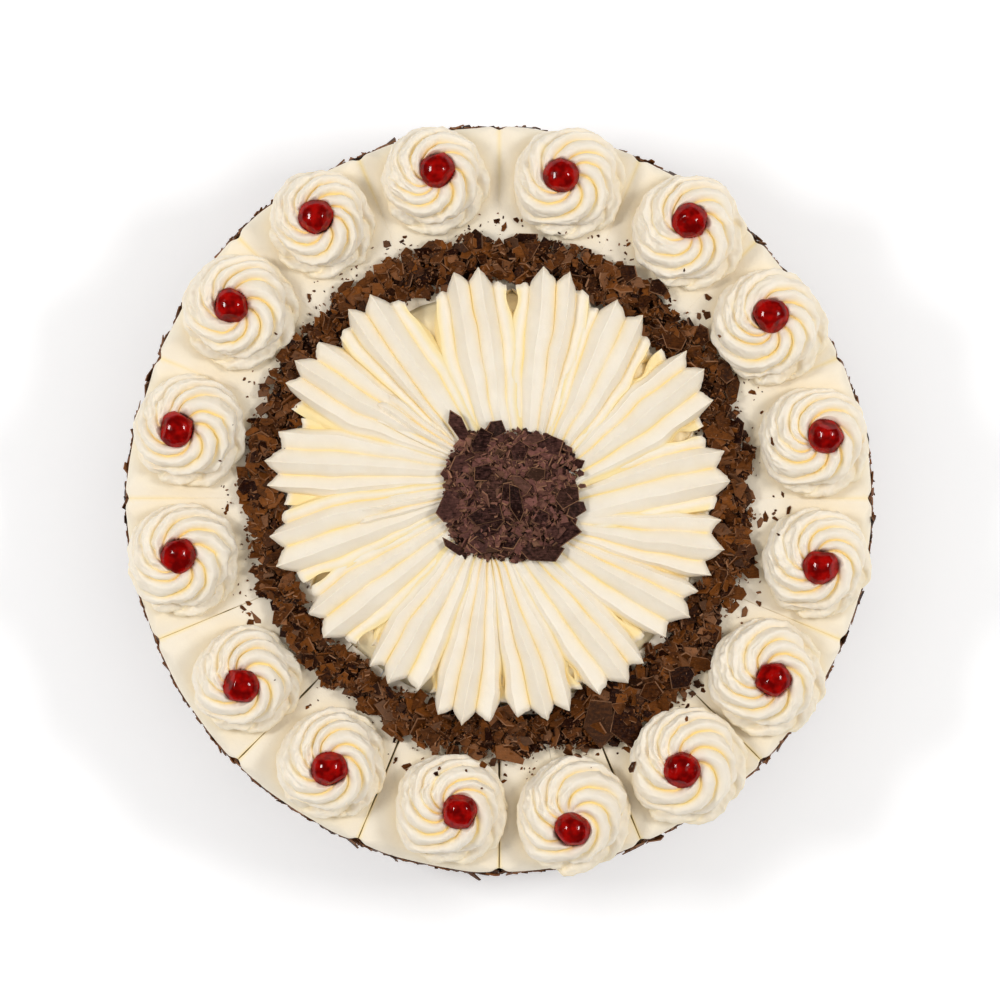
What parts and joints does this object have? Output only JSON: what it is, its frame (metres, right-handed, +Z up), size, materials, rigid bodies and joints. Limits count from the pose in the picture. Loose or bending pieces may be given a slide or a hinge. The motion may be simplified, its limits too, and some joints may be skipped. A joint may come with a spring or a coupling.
{
  "type": "black forest cake",
  "caption": "Round cream cake cut into slices, with piped rosettes and glazed cherries round a ring of chocolate flakes and a fan of piped cream.",
  "frame": {"origin": "centre of the cake's base, on the surface it stands on", "axes": "+Z up; +X and +Y lie along two of the cuts, so the first slice lies between 0 and 22.5 degrees from +X"},
  "size_m": [0.2826, 0.2826, 0.0869],
  "materials": {
    "iced_slice": "smooth whipped cream over sponge, matt with a faint moist sheen",
    "piped_cream": "piped whipped cream, satin and softly translucent, yellower in the grooves",
    "cherry_glaze": "wet glossy glazed cherry",
    "dark_flakes": "dark chocolate shavings, satin, with paler scraped edges"
  },
  "bodies": {
    "root": {"slice_01": "iced_slice", "slice_02": "iced_slice", "slice_03": "iced_slice", "slice_04": "iced_slice", "slice_05": "iced_slice", "slice_06": "iced_slice", "slice_07": "iced_slice", "slice_08": "iced_slice", "slice_09": "iced_slice", "slice_10": "iced_slice", "slice_11": "iced_slice", "slice_12": "iced_slice", "slice_13": "iced_slice", "slice_14": "iced_slice", "slice_15": "iced_slice", "slice_16": "iced_slice", "rosette_01": "piped_cream", "rosette_02": "piped_cream", "rosette_03": "piped_cream", "rosette_04": "piped_cream", "rosette_05": "piped_cream", "rosette_06": "piped_cream", "rosette_07": "piped_cream", "rosette_08": "piped_cream", "rosette_09": "piped_cream", "rosette_10": "piped_cream", "rosette_11": "piped_cream", "rosette_12": "piped_cream", "rosette_13": "piped_cream", "rosette_14": "piped_cream", "rosette_15": "piped_cream", "rosette_16": "piped_cream", "cherry_01": "cherry_glaze", "cherry_02": "cherry_glaze", "cherry_03": "cherry_glaze", "cherry_04": "cherry_glaze", "cherry_05": "cherry_glaze", "cherry_06": "cherry_glaze", "cherry_07": "cherry_glaze", "cherry_08": "cherry_glaze", "cherry_09": "cherry_glaze", "cherry_10": "cherry_glaze", "cherry_11": "cherry_glaze", "cherry_12": "cherry_glaze", "cherry_13": "cherry_glaze", "cherry_14": "cherry_glaze", "cherry_15": "cherry_glaze", "cherry_16": "cherry_glaze", "piped_fan": "piped_cream", "flake_ring": "dark_flakes", "flake_pile": "dark_flakes"}
  },
  "joints": []
}
